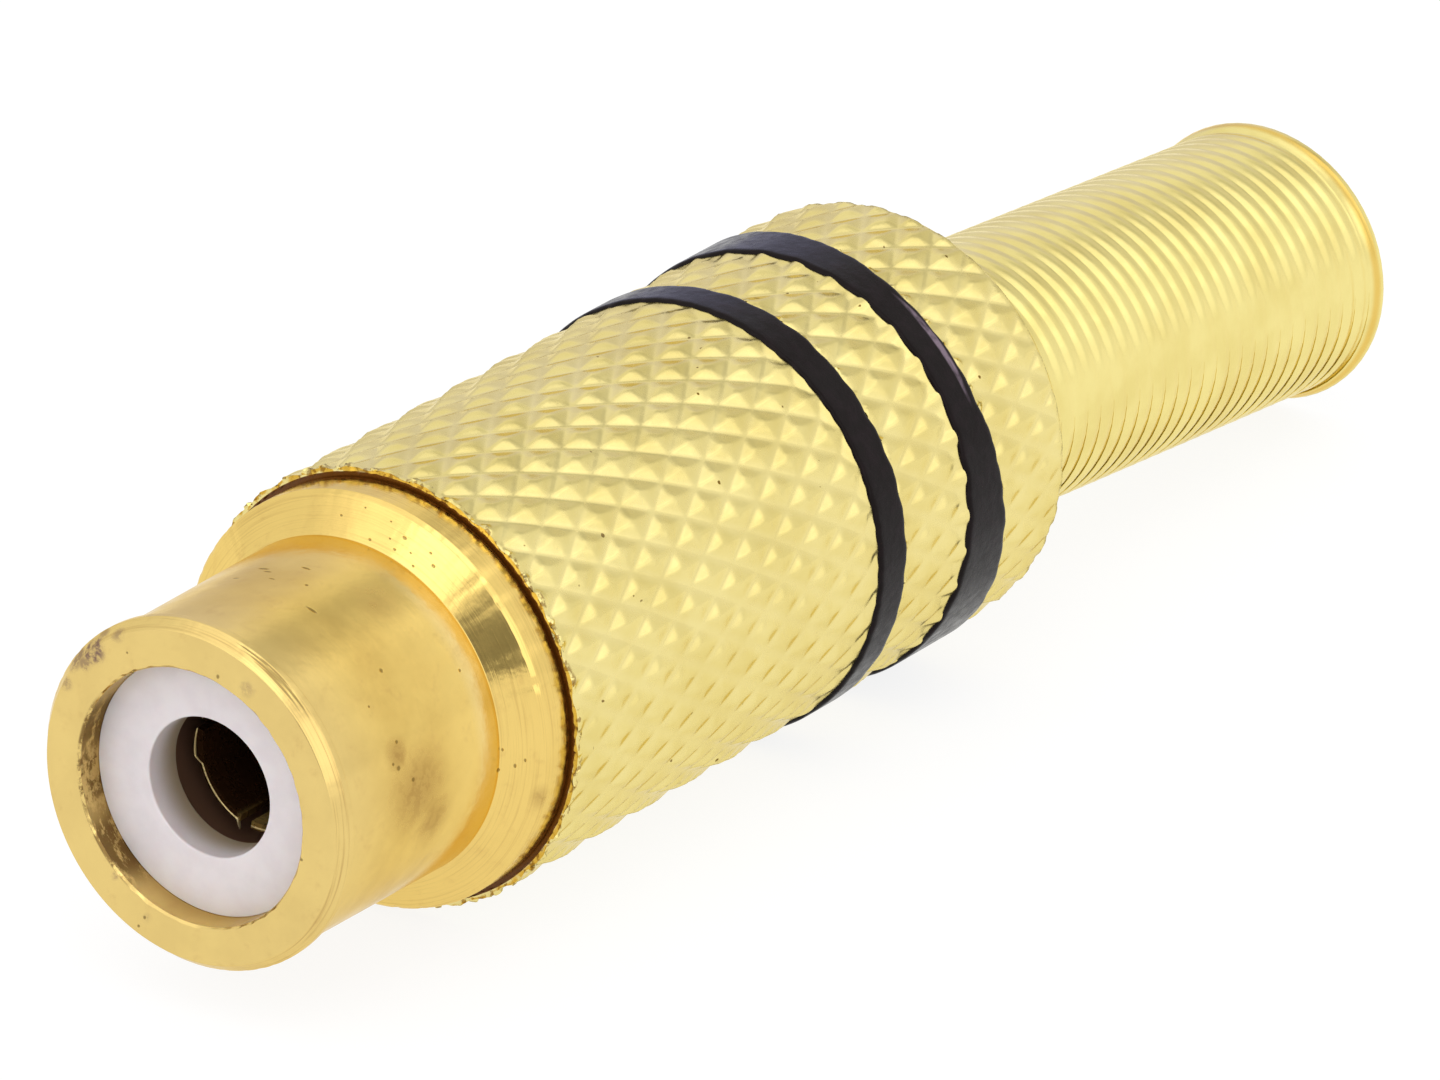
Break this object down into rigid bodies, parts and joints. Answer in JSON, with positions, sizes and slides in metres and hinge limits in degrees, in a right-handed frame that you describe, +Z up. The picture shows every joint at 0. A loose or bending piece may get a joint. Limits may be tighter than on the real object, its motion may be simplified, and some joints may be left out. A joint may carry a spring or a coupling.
{
  "type": "inline rca connector",
  "caption": "Gold-plated inline phono jack with a knurled screw-on shell, black marker rings and a coil-spring strain relief.",
  "frame": {"origin": "on the axis, in the plane of the nose's flat mating face", "axes": "+X along the axis from the mating face towards the cable, +Z up as the jack lies on the black rings of its shell"},
  "size_m": [0.0441, 0.0106, 0.0106],
  "materials": {
    "gold_nose": "polished",
    "white_insulator": "satin",
    "gold_contact": "polished",
    "brown_insulator": "satin",
    "tinned_lug": "satin",
    "clear_sleeve": "gloss",
    "gold_shell": "polished",
    "black_ring": "gloss",
    "gold_spring": "polished"
  },
  "bodies": {
    "nose": {"nose_barrel": "gold_nose", "front_insulator": "white_insulator", "centre_contact": "gold_contact", "rear_insulator": "brown_insulator", "ground_lug": "tinned_lug", "insulating_sleeve": "clear_sleeve"},
    "spring": {"strain_relief_spring": "gold_spring"},
    "shell": {"shell": "gold_shell", "front_ring": "black_ring", "rear_ring": "black_ring"}
  },
  "joints": [
    {"name": "thread_advance", "type": "slide", "parent": "nose", "child": "spring", "axis": [1, 0, 0], "range_m": [0, 0.00488]},
    {"name": "thread_turn", "type": "hinge", "parent": "spring", "child": "shell", "pos_m": [0.0176, 0, 0], "axis": [1, 0, 0], "range_deg": [0, 2340]}
  ],
  "couplings": [
    {"joint": "thread_advance", "follows": "thread_turn", "m_per_rad": 0.00011937}
  ]
}
